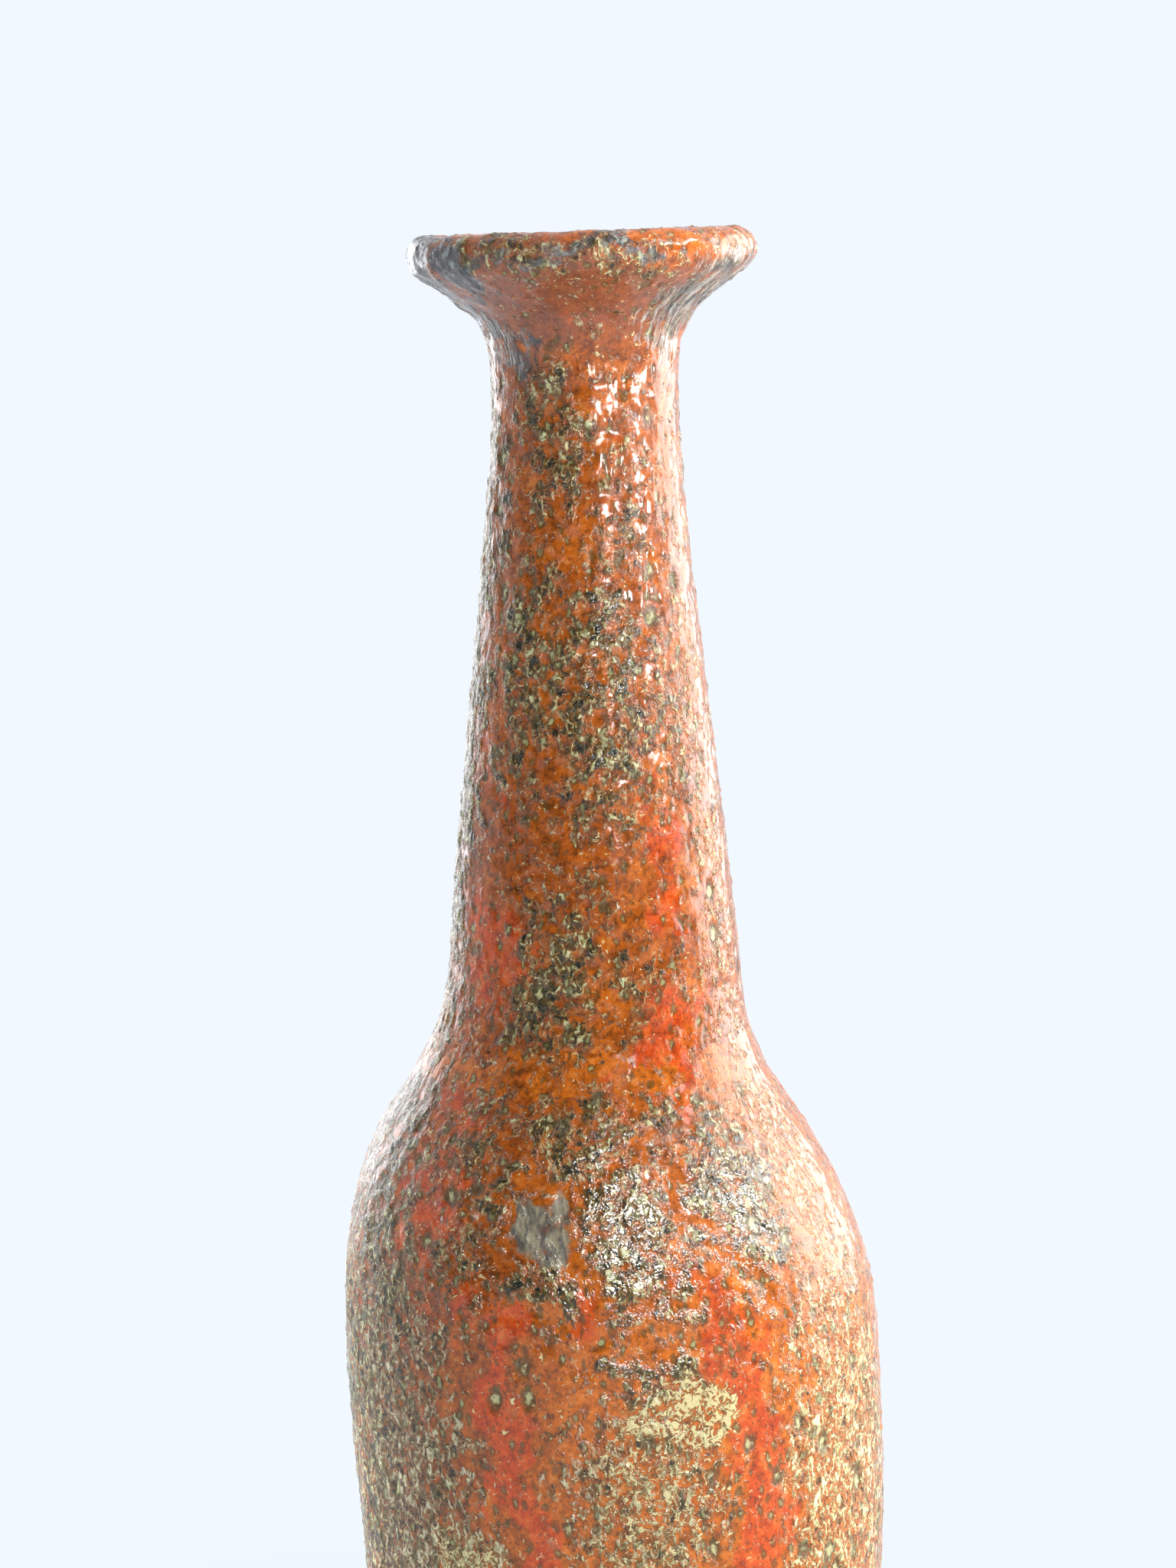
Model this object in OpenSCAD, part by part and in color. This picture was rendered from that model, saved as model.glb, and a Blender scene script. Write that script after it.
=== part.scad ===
// Tall bottle vase in thrown and glazed earthenware. Millimetres, +Z up, standing on z = 0.
// The pot is thrown in two sections, a barrel body and a tapering neck with a flared lip.
// The neck is luted to the body with slip, and then two glazes go on: a thick coat outside,
// over the lip and a little way down the throat, and a thin liner over the rest of the inside.
// Every piece is turned about the pot's own axis, so each is one half section, revolved.

/* [Foot] */
// Diameter of the turned foot
foot_d = 97; // [88:1:106]
// Height of the turned foot
foot_h = 5; // [4:0.5:8]
// Width of the ring that the pot stands on
foot_ring_w = 9; // [6:0.5:14]
// Depth of the hollow turned under the floor
foot_recess = 3.5; // [2:0.5:5]
// Bevel on both edges of the foot ring
foot_bevel = 1.2; // [0.5:0.1:2]

/* [Body] */
// Outside diameter of the wall where it leaves the foot
hip_d = 101; // [92:1:112]
// Angle of the wall where it leaves the foot, above the table
hip_angle = 58; // [50:1:75]
// How far the wall keeps that angle
hip_reach = 18; // [12:1:24]
// Diameter at the widest part
belly_d = 132; // [120:1:144]
// Height of the widest part above the foot
belly_h = 121; // [105:1:135]
// How far the belly keeps upright below its widest part
belly_drop = 65; // [50:1:75]
// How far the belly keeps upright above its widest part
belly_rise = 32; // [24:1:38]
// Diameter where the shoulder is steepest
shoulder_d = 91.6; // [86:0.2:98]
// Height of that place above the widest part
shoulder_h = 67; // [60:1:74]
// Angle of the shoulder there, above the table
shoulder_angle = 56; // [48:1:64]
// How far the shoulder keeps that angle below
shoulder_reach = 22; // [16:1:26]

/* [Neck] */
// Diameter at the root of the neck
neck_root_d = 72.4; // [68:0.2:78]
// Height of the root above the steep part of the shoulder
neck_root_h = 27; // [22:1:32]
// How far the shoulder keeps its angle into the root
root_reach = 9; // [6:1:12]
// How far the neck keeps its slope below the root
root_drop = 12; // [8:1:15]
// Taper of the neck at its root, away from upright
neck_taper = 5.4; // [3:0.2:8]
// How far the neck keeps that taper above the root
neck_reach = 60; // [40:1:75]
// Diameter at the throat, the narrowest place
throat_d = 44.7; // [40:0.1:50]
// Height of the throat above the root
throat_h = 141; // [120:1:165]
// How far the throat keeps upright below its narrowest place
throat_drop = 25; // [15:1:35]

/* [Lip] */
// Diameter of the lip
lip_d = 84; // [76:1:92]
// Radius of the lip's rolled edge
lip_bead = 5.4; // [4.6:0.1:6.4]
// Height of the flare, from the throat to the top of the lip
flare_h = 38.8; // [34:0.2:46]
// Angle of the flare's underside, above the table
flare_angle = 36; // [28:1:44]
// How far the throat keeps upright above its narrowest place
flare_rise = 20; // [15:1:24]
// How far the underside keeps its angle inside the lip
flare_reach = 18; // [12:1:22]
// Slope of the mouth just inside the lip, below the table's plane
mouth_angle = 42; // [32:1:52]
// How far the mouth keeps that slope
mouth_reach = 14; // [9:1:17]
// How far the mouth runs upright above the throat
mouth_drop = 14; // [9:1:17]

/* [Walls] */
// Thickness of the clay floor
floor_t = 8.5; // [6:0.5:12]
// Radius of the corner between floor and wall, inside
floor_corner = 16; // [10:1:22]
// Thickness of the clay wall at the foot
hip_wall = 8; // [6:0.5:10]
// Thickness of the clay wall at the belly
belly_wall = 5.6; // [4:0.2:8]
// Thickness of the clay wall at the throat
throat_wall = 4.4; // [3.4:0.2:6]

/* [Luted joint] */
// Height of the joint's outer edge below the root of the neck
joint_drop = 13; // [8:1:18]
// Thickness of the slip in the joint
slip_t = 1.2; // [0.8:0.1:2]
// How much higher the joint's inner edge lies than its outer edge
joint_bevel = 3.5; // [2:0.5:5]

/* [Glazes] */
// Thickness of the coat outside
coat_t = 1; // [0.6:0.1:1.4]
// Height above the foot at which the coat ends
coat_line = 3.4; // [2.6:0.2:8]
// Thickness of the liner inside
liner_t = 0.6; // [0.4:0.1:1]
// How far the coat runs down inside the throat
coat_inside = 26; // [15:1:40]

/* [Throwing rings] */
// Height of one finger groove inside the body
ring_pitch = 9; // [7:0.5:12]
// Depth of a finger groove
ring_depth = 0.5; // [0.2:0.1:0.8]

/* [Hidden] */
$fn = 128;
clay_colour = "#9b6547";
slip_colour = "#7d4f38";
coat_colour = "#c9501f";
liner_colour = "#b9a88c";

// Pieces of each curve, and the angle between points on the lip's bead
long_steps = 14;
short_steps = 8;
bead_step_angle = 10;
// Points on one finger groove
ring_points = 4;

// Heights above the table
belly_z = foot_h + belly_h;
shoulder_z = belly_z + shoulder_h;
root_z = shoulder_z + neck_root_h;
throat_z = root_z + throat_h;
top_z = throat_z + flare_h;
joint_z = root_z - joint_drop;
floor_z = foot_recess + floor_t;
coat_line_z = foot_h + coat_line;
coat_inside_z = throat_z - coat_inside;

// Centre of the lip's bead, and the angles on it where the flare and the mouth meet it
bead_centre = [lip_d / 2 - lip_bead, top_z - lip_bead];
bead_from = flare_angle - 90;
bead_to = 90 + mouth_angle;

// A step of length reach at an angle above the table
function toward(angle, reach) = reach * [cos(angle), sin(angle)];

// A cubic curve in some steps, with its first point left out
function curve(a, b, c, d, steps) = [
    for (i = [1 : steps])
        let (t = i / steps, u = 1 - t)
        u * u * u * a + 3 * u * u * t * b + 3 * u * t * t * c + t * t * t * d
];

// An arc in equal steps of about bead_step_angle, with its first point left out
function arc(centre, radius, from, to) =
    let (steps = ceil((to - from) / bead_step_angle))
    [for (i = [1 : steps]) centre + toward(from + (to - from) * i / steps, radius)];

// The direction to the left of a path at its point i
function left_of(path, i) =
    let (
        a = path[max(i - 1, 0)],
        b = path[min(i + 1, len(path) - 1)],
        along = (b - a) / norm(b - a)
    )
    [-along.y, along.x];

// A path moved to its left by a distance, or by a list of distances
function moved_left(path, distance) = [
    for (i = [0 : len(path) - 1])
        path[i] + (is_list(distance) ? distance[i] : distance) * left_of(path, i)
];

function reversed(path) = [for (i = [len(path) - 1 : -1 : 0]) path[i]];

// The point at height z on a path that climbs all the way
function at_height(path, z) = [lookup(z, [for (p = path) [p.y, p.x]]), z];
function below(path, z) = concat([for (p = path) if (p.y < z) p], [at_height(path, z)]);
function above(path, z) = concat([at_height(path, z)], [for (p = path) if (p.y > z) p]);
function between(path, low, high) = below(above(path, low), high);

// Outside of the glazed pot, from the top of the foot to the throat
hip = [hip_d / 2, foot_h];
belly = [belly_d / 2, belly_z];
shoulder = [shoulder_d / 2, shoulder_z];
root = [neck_root_d / 2, root_z];
throat = [throat_d / 2, throat_z];
up_shoulder = 180 - shoulder_angle;
up_neck = 90 + neck_taper;
outside = concat(
    [hip],
    curve(hip, hip + toward(hip_angle, hip_reach), belly - [0, belly_drop], belly, long_steps),
    curve(belly, belly + [0, belly_rise], shoulder - toward(up_shoulder, shoulder_reach), shoulder,
        long_steps),
    curve(shoulder, shoulder + toward(up_shoulder, root_reach), root - toward(up_neck, root_drop), root,
        short_steps),
    curve(root, root + toward(up_neck, neck_reach), throat - [0, throat_drop], throat, long_steps)
);

// Underside of the flare, from the throat to the bead
bead_start = bead_centre + toward(bead_from, lip_bead);
flare = concat(
    [throat],
    curve(throat, throat + [0, flare_rise], bead_start - toward(flare_angle, flare_reach), bead_start,
        long_steps)
);

// Outside of the clay, under the coat
clay_outside = moved_left(outside, coat_t);
clay_flare = moved_left(flare, coat_t);
clay_bead = arc(bead_centre, lip_bead - coat_t, bead_from, bead_to);

// Thickness of the clay wall at a height, and the depth of the finger grooves there
function wall_at(z) = lookup(z, [[foot_h, hip_wall], [belly_z, belly_wall], [throat_z, throat_wall]]);
function groove_at(z) = z > shoulder_z ? 0 : ring_depth * (1 - cos(360 * (z - floor_z) / ring_pitch)) / 2;

// Inside of the clay wall, from the foot to the throat
wall_line = moved_left(outside, [for (p = outside) coat_t + wall_at(p.y)]);
corner_top_z = floor_z + floor_corner;
ring_step = ring_pitch / ring_points;
grooved_line = [
    for (z = [corner_top_z : ring_step : shoulder_z])
        at_height(wall_line, z) + [groove_at(z), 0]
];
smooth_line = [for (p = wall_line) if (p.y > shoulder_z + ring_step) p];
corner_top = grooved_line[0];
corner_foot = [corner_top.x - floor_corner, floor_z];
corner = curve(corner_foot, corner_foot + [floor_corner / 2, 0], corner_top - [0, floor_corner / 2],
    corner_top, short_steps);
cavity = concat(
    [[0, floor_z], corner_foot],
    corner,
    [for (i = [1 : len(grooved_line) - 1]) grooved_line[i]],
    smooth_line
);

// Mouth of the clay, from the bead down to the throat
bore_top = cavity[len(cavity) - 1];
mouth_start = bead_centre + toward(bead_to, lip_bead - coat_t);
mouth = concat(
    [mouth_start],
    curve(mouth_start, mouth_start + toward(bead_to + 90, mouth_reach), bore_top + [0, mouth_drop], bore_top,
        long_steps)
);

// Climbing parts of the cavity, which the joint and the two glazes share
cavity_wall = [for (p = cavity) if (p.y > floor_z) p];
slip_top_z = joint_z + joint_bevel + slip_t;

// A half section turned about the pot's axis
module turned(section, colour) {
    color(colour)
    rotate_extrude()
    polygon(section);
}

// The barrel: floor on a turned foot ring, wall and shoulder, up to the joint
module body_section() {
    ring_inside = foot_d / 2 - foot_ring_w;
    foot_under = [
        [0, foot_recess],
        [ring_inside - foot_bevel, foot_recess],
        [ring_inside, foot_recess - foot_bevel],
        [ring_inside, foot_bevel],
        [ring_inside + foot_bevel, 0],
        [foot_d / 2 - foot_bevel, 0],
        [foot_d / 2, foot_bevel],
        [foot_d / 2, foot_h]
    ];
    turned(concat(
        foot_under,
        below(clay_outside, joint_z),
        reversed(below(cavity_wall, joint_z + joint_bevel)),
        [corner_foot, [0, floor_z]]
    ), clay_colour);
}

// The neck, thrown by itself with its flared lip and rolled edge
module neck_section() {
    turned(concat(
        above(clay_outside, joint_z + slip_t),
        [for (i = [1 : len(clay_flare) - 1]) clay_flare[i]],
        clay_bead,
        [for (i = [1 : len(mouth) - 1]) mouth[i]],
        [for (p = reversed(cavity_wall)) if (p.y > slip_top_z && p.y < bore_top.y) p],
        [at_height(cavity_wall, slip_top_z)]
    ), clay_colour);
}

// The ring of slip that lutes the neck to the body
module slip_joint() {
    turned(concat(
        between(clay_outside, joint_z, joint_z + slip_t),
        reversed(between(cavity_wall, joint_z + joint_bevel, slip_top_z))
    ), slip_colour);
}

// The thick coat outside, over the lip and down to its line inside the throat
module outer_glaze() {
    coat_end = at_height(clay_outside, coat_line_z);
    coat_edge = at_height(outside, coat_line_z + coat_t);
    throat_inside = above(cavity_wall, coat_inside_z);
    mouth_and_throat = concat(mouth, [for (i = [len(throat_inside) - 2 : -1 : 0]) throat_inside[i]]);
    glazed_mouth = moved_left(mouth_and_throat, -coat_t);
    turned(concat(
        [coat_end],
        curve(coat_end, coat_end + [coat_t / 2, 0], coat_edge - toward(hip_angle, coat_t / 2), coat_edge,
            short_steps / 2),
        [for (p = outside) if (p.y > coat_edge.y) p],
        [for (i = [1 : len(flare) - 1]) flare[i]],
        arc(bead_centre, lip_bead, bead_from, bead_to),
        [for (i = [1 : len(glazed_mouth) - 1]) glazed_mouth[i]],
        reversed(mouth_and_throat),
        [for (i = [len(clay_bead) - 2 : -1 : 0]) clay_bead[i]],
        [for (i = [len(clay_flare) - 1 : -1 : 1]) clay_flare[i]],
        [for (p = reversed(clay_outside)) if (p.y > coat_line_z) p]
    ), coat_colour);
}

// The thin liner over the floor and up the inside to the end of the coat
module liner_glaze() {
    lined = concat([[0, floor_z], corner_foot], below(cavity_wall, coat_inside_z));
    turned(concat(lined, reversed(moved_left(lined, liner_t))), liner_colour);
}

body_section();
neck_section();
slip_joint();
outer_glaze();
liner_glaze();
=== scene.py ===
# Tall bottle vase in thrown earthenware, with a thick orange-red glaze that has crawled and pitted.
# The pot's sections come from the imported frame. This script throws them again as smooth skins, gives
# them the glaze's real unevenness and the bow of a hand-made pot, and sets up the light and camera.
import math
import bpy
import numpy as np
from mathutils import Matrix, Vector, kdtree


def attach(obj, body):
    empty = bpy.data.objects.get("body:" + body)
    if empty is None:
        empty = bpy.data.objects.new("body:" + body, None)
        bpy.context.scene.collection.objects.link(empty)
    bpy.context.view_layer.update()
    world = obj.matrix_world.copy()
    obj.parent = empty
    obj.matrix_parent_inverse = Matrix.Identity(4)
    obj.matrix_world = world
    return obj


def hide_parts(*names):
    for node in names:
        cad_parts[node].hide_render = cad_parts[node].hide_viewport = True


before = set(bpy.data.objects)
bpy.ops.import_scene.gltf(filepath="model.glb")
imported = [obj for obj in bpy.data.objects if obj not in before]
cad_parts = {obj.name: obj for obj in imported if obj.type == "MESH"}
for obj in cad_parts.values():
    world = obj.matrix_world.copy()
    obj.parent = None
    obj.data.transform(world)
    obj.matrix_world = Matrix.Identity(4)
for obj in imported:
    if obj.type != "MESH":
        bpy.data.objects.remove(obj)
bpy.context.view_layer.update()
mm = 0.001
print("frame loaded:", ", ".join(sorted(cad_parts)))

potShape = {
    "turns": 96,  # columns round the pot before smoothing
    "smoothing": 2,  # levels: each makes the columns and rows half as wide
    "fineRow": 4.4 * mm,  # rows on the glaze's face, before smoothing
    "coarseRow": 16 * mm,  # rows on sides that nobody sees
    "tightest": 0.45 * mm,  # rows where the outline turns sharply
    "turnPerRow": 0.42,  # how far the outline may turn between two rows, radians
    "fewestRows": 8,
    "trace": 0.1 * mm,  # outlines are walked in steps of this length
    "weld": 0.01 * mm,  # corners nearer to each other than this are one
    "cutWeld": 0.002 * mm,  # the same on a copy of the solid
    "coatSeat": 0.3 * mm,  # this near to the clay, the coat's side is hidden
    "linerSeat": 0.2 * mm,  # the same for the liner
    "bareRim": 14 * mm,  # above this height all of the clay body is under glaze
}


def selectOnly(*things):
    if bpy.context.object and bpy.context.object.mode != "OBJECT":
        bpy.ops.object.mode_set(mode="OBJECT")
    bpy.ops.object.select_all(action="DESELECT")
    for thing in things:
        thing.select_set(True)
    bpy.context.view_layer.objects.active = things[0]


def readSection(nodeName):
    # cuts a copy of the solid through its axis and walks the right half of the cut
    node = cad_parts[nodeName]
    cut = node.copy()
    cut.data = node.data.copy()
    cut.parent = None
    bpy.context.scene.collection.objects.link(cut)
    selectOnly(cut)
    bpy.ops.object.mode_set(mode="EDIT")
    bpy.ops.mesh.select_all(action="SELECT")
    bpy.ops.mesh.remove_doubles(threshold=potShape["cutWeld"])
    bpy.ops.mesh.select_all(action="SELECT")
    bpy.ops.mesh.bisect(plane_co=(0, 0, 0), plane_no=(0, 1, 0), clear_inner=True, clear_outer=True)
    bpy.ops.mesh.select_all(action="SELECT")
    bpy.ops.mesh.remove_doubles(threshold=potShape["cutWeld"])
    bpy.ops.object.mode_set(mode="OBJECT")
    spots = [(vertex.co.x, vertex.co.z) for vertex in cut.data.vertices]
    nextTo = {}
    for edge in cut.data.edges:
        one, other = edge.vertices
        if min(spots[one][0], spots[other][0]) > -potShape["weld"]:
            nextTo.setdefault(one, []).append(other)
            nextTo.setdefault(other, []).append(one)
    ends = [spot for spot in nextTo if len(nextTo[spot]) == 1]
    start = min(ends or nextTo, key=lambda spot: spots[spot][1])
    walk, last, here = [start], None, start
    while True:
        ways = [spot for spot in nextTo[here] if spot != last]
        if not ways or ways[0] == start:
            break
        last, here = here, ways[0]
        walk.append(here)
    if not ends:
        walk.append(start)
    bpy.data.objects.remove(cut)
    outline = np.array([spots[spot] for spot in walk])
    if ends:
        outline[0, 0] = outline[-1, 0] = 0
    return outline


def spaceOut(outline, hidden, stops=()):
    # rows stand close where the outline turns sharply, and wide where it is straight or hidden
    trace = potShape["trace"]
    window, spread = 9, 17  # steps over which the heading, and then its turning, are evened out
    straight = 1e-3  # an outline that turns less than this, radians a metre, is straight
    steps = np.hypot(*np.diff(outline, axis=0).T)
    along = np.concatenate([[0], np.cumsum(steps)])
    fine = np.arange(0, along[-1], trace)
    path = np.stack([np.interp(fine, along, outline[:, column]) for column in (0, 1)], 1)
    heading = np.unwrap(np.arctan2(*np.gradient(path, axis=0).T[::-1]))
    heading = np.pad(heading, window, mode="edge")
    heading = np.convolve(heading, np.ones(window) / window, "same")[window:-window]
    turning = np.pad(np.abs(np.gradient(heading, trace)), spread // 2, mode="edge")
    turning = np.convolve(turning, np.ones(spread) / spread, "valid")
    widest = np.where(hidden(path), potShape["coarseRow"], potShape["fineRow"])
    row = np.clip(potShape["turnPerRow"] / np.maximum(turning, straight), potShape["tightest"], widest)
    count = np.concatenate([[0], np.cumsum(trace / row)])[:-1]
    rows = max(potShape["fewestRows"], round(count[-1]))
    places = list(np.interp(np.linspace(0, count[-1], rows, endpoint=False), count, fine))
    places.append(along[-1])
    for stop in stops:  # a row is moved to each height where the skin is parted later
        for crossing in np.flatnonzero(np.diff(np.sign(path[:, 1] - stop))):
            nearest = min(range(1, len(places) - 1), key=lambda row: abs(places[row] - fine[crossing]))
            places[nearest] = fine[crossing]
    return np.stack([np.interp(places, along, outline[:, column]) for column in (0, 1)], 1)


def throwSkin(name, rows):
    # draws the half section point by point and spins it round the pot's axis
    bpy.ops.object.select_all(action="DESELECT")
    bpy.ops.mesh.primitive_plane_add(size=mm, enter_editmode=True)
    skin = bpy.context.object
    skin.name = skin.data.name = name
    bpy.ops.mesh.select_mode(type="VERT")
    bpy.ops.mesh.merge(type="CENTER")
    bpy.ops.transform.translate(value=(rows[0][0], 0, rows[0][1]))
    for here, there in zip(rows[:-1], rows[1:]):
        step = (there[0] - here[0], 0, there[1] - here[1])
        bpy.ops.mesh.extrude_vertices_move(TRANSFORM_OT_translate={"value": step})
    bpy.ops.mesh.select_all(action="SELECT")
    bpy.ops.mesh.remove_doubles(threshold=potShape["weld"])
    bpy.ops.mesh.select_all(action="SELECT")
    bpy.ops.mesh.spin(steps=potShape["turns"], angle=2 * math.pi, center=(0, 0, 0), axis=(0, 0, 1))
    bpy.ops.mesh.select_all(action="SELECT")
    bpy.ops.mesh.remove_doubles(threshold=potShape["weld"])
    bpy.ops.mesh.select_all(action="SELECT")
    bpy.ops.mesh.normals_make_consistent(inside=False)
    bpy.ops.object.mode_set(mode="OBJECT")
    bpy.ops.object.modifier_add(type="SUBSURF")
    smoothing = skin.modifiers[-1]
    smoothing.levels = smoothing.render_levels = potShape["smoothing"]
    bpy.ops.object.modifier_apply(modifier=smoothing.name)
    bpy.ops.object.shade_smooth()
    return skin


sections = {name: readSection(name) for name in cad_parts}
clayPoints = []
for name in ("body_section", "neck_section"):
    line = sections[name]
    reach = np.concatenate([[0], np.cumsum(np.hypot(*np.diff(line, axis=0).T))])
    for along in np.arange(0, reach[-1], potShape["trace"]):
        clayPoints.append((np.interp(along, reach, line[:, 0]), 0, np.interp(along, reach, line[:, 1])))
clayLine = kdtree.KDTree(len(clayPoints))
for index, point in enumerate(clayPoints):
    clayLine.insert(point, index)
clayLine.balance()
print("sections read:", {name: len(line) for name, line in sections.items()})


def offClay(points):
    # how far each point of a section stands off the fired clay
    return np.array([clayLine.find((away, 0, height))[2] for away, height in points])


glazeSplit = {"atJoint": 207 * mm, "underLip": 375 * mm}  # the heights where the coat is parted
coatRows = spaceOut(
    sections["outer_glaze"], lambda path: offClay(path) < potShape["coatSeat"], glazeSplit.values())
coat = throwSkin("coat", coatRows)
print("coat thrown:", len(coat.data.polygons), "faces")

# What the glaze did in the kiln, place by place, with some painted shade and reflection: angle round the pot
# from the side that faces the camera (to the right is plus), height, half width, half height (mm) and
# strength.
glazeZones = {
    "cluster": [
        (-22, 353, 9, 20, 0.8), (-33, 290, 9, 30, 0.85), (6, 288, 12, 32, 0.95), (40, 290, 8, 26, 0.5),
        (-17, 223, 12, 18, 1.0), (19, 220, 11, 12, 0.75), (-1, 190, 24, 9, 0.8), (-33, 176, 15, 24, 0.7),
        (-57, 168, 15, 32, 0.88), (-14, 156, 11, 5, 0.9), (8, 166, 13, 18, 1.1), (38, 173, 13, 18, 1.1),
        (10, 393, 14, 5, 0.55), (-32, 395, 10, 5, 0.9), (-10, 394, 12, 5, 0.7), (-75, 270, 10, 70, 0.8),
        (-66, 210, 10, 30, 0.6), (9, 134, 10, 5, 0.9), (24, 190, 14, 10, 0.5), (8, 330, 9, 14, 0.6),
        (-64, 325, 8, 34, 0.6), (-10, 255, 10, 20, 0.3), (30, 335, 8, 20, 0.35), (-5, 145, 30, 14, 0.2),
        (-70, 110, 16, 60, 0.8), (-48, 104, 15, 46, 0.4), (70, 130, 12, 30, 0.3), (-22, 184, 16, 8, 0.5),
        (-34, 160, 10, 10, 0.7), (4, 104, 20, 24, 0.4), (10, 136, 13, 6, 1), (22, 152, 12, 16, 0.6),
    ],
    "red": [
        (31, 250, 6, 18, 0.85), (28, 208, 10, 17, 0.82), (-46, 228, 11, 18, 0.7), (-24, 146, 7, 8, 0.9),
        (-24, 122, 6.5, 22, 1), (-18, 92, 5, 18, 1), (-4, 151, 4, 9, 0.9), (26, 141, 9, 12, 0.9),
        (31, 106, 7.5, 26, 1), (-20, 66, 6, 22, 0.9), (32, 66, 8, 22, 0.9), (-34, 150, 14, 7, 0.5),
        (20, 155, 13, 6, 0.6), (-48, 188, 14, 16, 0.6), (8, 200, 20, 7, 0.3), (24, 345, 6, 24, 0.3),
        (-42, 170, 11, 13, 0.72), (-44, 270, 8, 30, 0.3),
    ],
    # the tall ash strips at -78 and -84 degrees run down the left edge, and the spot at 394 mm lies along
    # the lip's top: partly ash, partly painted reflection
    "ash": [
        (-58, 100, 26, 46, 0.9), (60, 96, 27, 46, 1), (3, 102, 19, 26, 0.5), (5, 56, 24, 30, 0.8),
        (-44, 108, 12, 46, 0.5), (40, 60, 12, 24, 0.7), (-78, 110, 12, 70, 1), (-2, 18, 90, 38, 0.85),
        (-37, 91, 11, 10, 0.9), (52, 135, 13, 18, 0.7), (-54, 138, 18, 18, 0.7), (62, 230, 8, 40, 0.4),
        (54, 290, 6, 34, 0.35), (-36, 108, 8, 20, 0.5), (60, 180, 10, 22, 0.6), (44, 176, 9, 20, 0.4),
        (-60, 165, 8, 14, 0.4), (-84, 280, 7, 90, 0.8), (58, 386, 14, 7, 0.4), (-84, 190, 10, 40, 0.8),
        (2, 394, 26, 4, 0.5),
    ],
    # the tall pale strips at -80, -84 and 75 degrees run down the edges, and the spot at 394 mm lies along
    # the lip's top: partly pale ash, partly painted reflection
    "pale": [
        (60, 105, 34, 56, 1), (5, 104, 18, 22, 0.8), (14, 124, 16, 8, 1), (-37, 90, 10, 8, 0.8),
        (54, 290, 12, 34, 1), (19, 220, 12, 12, 0.8), (58, 236, 12, 40, 1), (42, 172, 14, 16, 0.7),
        (5, 56, 18, 26, 0.5), (75, 300, 14, 90, 0.8), (60, 180, 14, 30, 1), (-80, 100, 16, 70, 1),
        (-84, 280, 8, 90, 0.7), (56, 380, 18, 10, 1), (-84, 190, 12, 40, 0.8), (40, 60, 12, 24, 0.7),
        (0, 394, 34, 6, 0.8),
    ],
    "crust": [
        (14, 126, 15, 8, 0.8), (8, 108, 16, 14, 0.45), (-37, 89, 8, 6, 0.7), (62, 122, 14, 22, 0.3),
        (4, 96, 12, 10, 0.4),
    ],
    "slate": [
        (-72, 396, 14, 7, 0.9), (-47, 392, 7, 7, 1), (-62, 384, 9, 5, 0.6), (-44, 375, 6, 5, 0.5),
        (-88, 390, 16, 13, 1), (-30, 393, 9, 3, 0.55), (-8, 395, 9, 3, 0.6), (12, 396, 9, 3, 0.6),
        (-47, 371, 6, 5, 0.75), (28, 395, 7, 3, 0.45), (66, 385, 12, 6, 0.65), (-60, 378, 6, 8, 0.7),
        (80, 392, 12, 6, 0.5),
    ],
    # the tall fibre strips at -86, -84, 82 and 84 degrees run down the edges, and the one at 394 mm lies
    # along the lip's top: partly fibres, partly painted reflection
    "fibre": [
        (66, 386, 22, 10, 1), (57, 377, 9, 9, 1), (-80, 384, 12, 7, 0.2), (-64, 374, 10, 12, 0.7),
        (-86, 300, 9, 100, 0.8), (-4, 394, 30, 3, 0.42), (-84, 185, 12, 30, 0.9), (-84, 110, 12, 60, 0.8),
        (82, 110, 10, 70, 0.7), (84, 300, 7, 90, 0.6), (-66, 180, 10, 22, 0.6),
    ],
    "bare": [
        (-14, 169, 6.6, 6.4, 0.95), (-11, 167, 6, 6.4, 0.9), (-17, 174, 2.6, 5, 0.85),
        (-8, 174, 2.2, 5, 0.8),
    ],
    # deepAndShade: painted shade; these spots lay darker glass over the neck and down the left side, where
    # the light is dimmer than on the belly
    "deepAndShade": [
        (0, 300, 200, 130, 0.75), (-50, 150, 40, 80, 0.95), (-38, 240, 38, 46, 1),
    ],
    # mauveAndShade: partly the glaze's own dull mauve, partly painted shade; the spots under the lip and
    # down the left side darken it where shade falls
    "mauveAndShade": [
        (-18, 386, 44, 13, 1.1), (-45, 366, 14, 10, 0.7), (10, 376, 16, 8, 0.6), (-66, 300, 8, 90, 0.5),
        (-64, 215, 10, 24, 0.3), (-74, 170, 12, 40, 0.4), (-48, 160, 18, 26, 0.55),
        (-66, 100, 14, 60, 0.5), (30, 384, 20, 6, 0.4),
    ],
}
zoneEdges = {
    # waves that bend a spot's outline, in radians a metre along x, y and z, and how far each reaches
    "waves": np.array([[170, -250, 420, -610], [210, 190, -380, 520], [-240, 160, 560, 450]]),
    "reach": np.array([2.2, 1.8, 1.3, 1.1]) * mm,
    "end": 1.45,  # where a spot has faded out, in its own half widths
    "soft": 0.9,  # how wide its soft edge is, in the same
    "inMouth": 0.3,  # what is left of a spot where the coat faces the axis
    "ring": 0.02 * mm,  # the distance from the clay is looked up once for each ring this wide
    "seat": 0.35 * mm,  # this near to the clay, the coat has no relief
    "rise": 0.45 * mm,  # and this much further off, it has all of it
}
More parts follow.
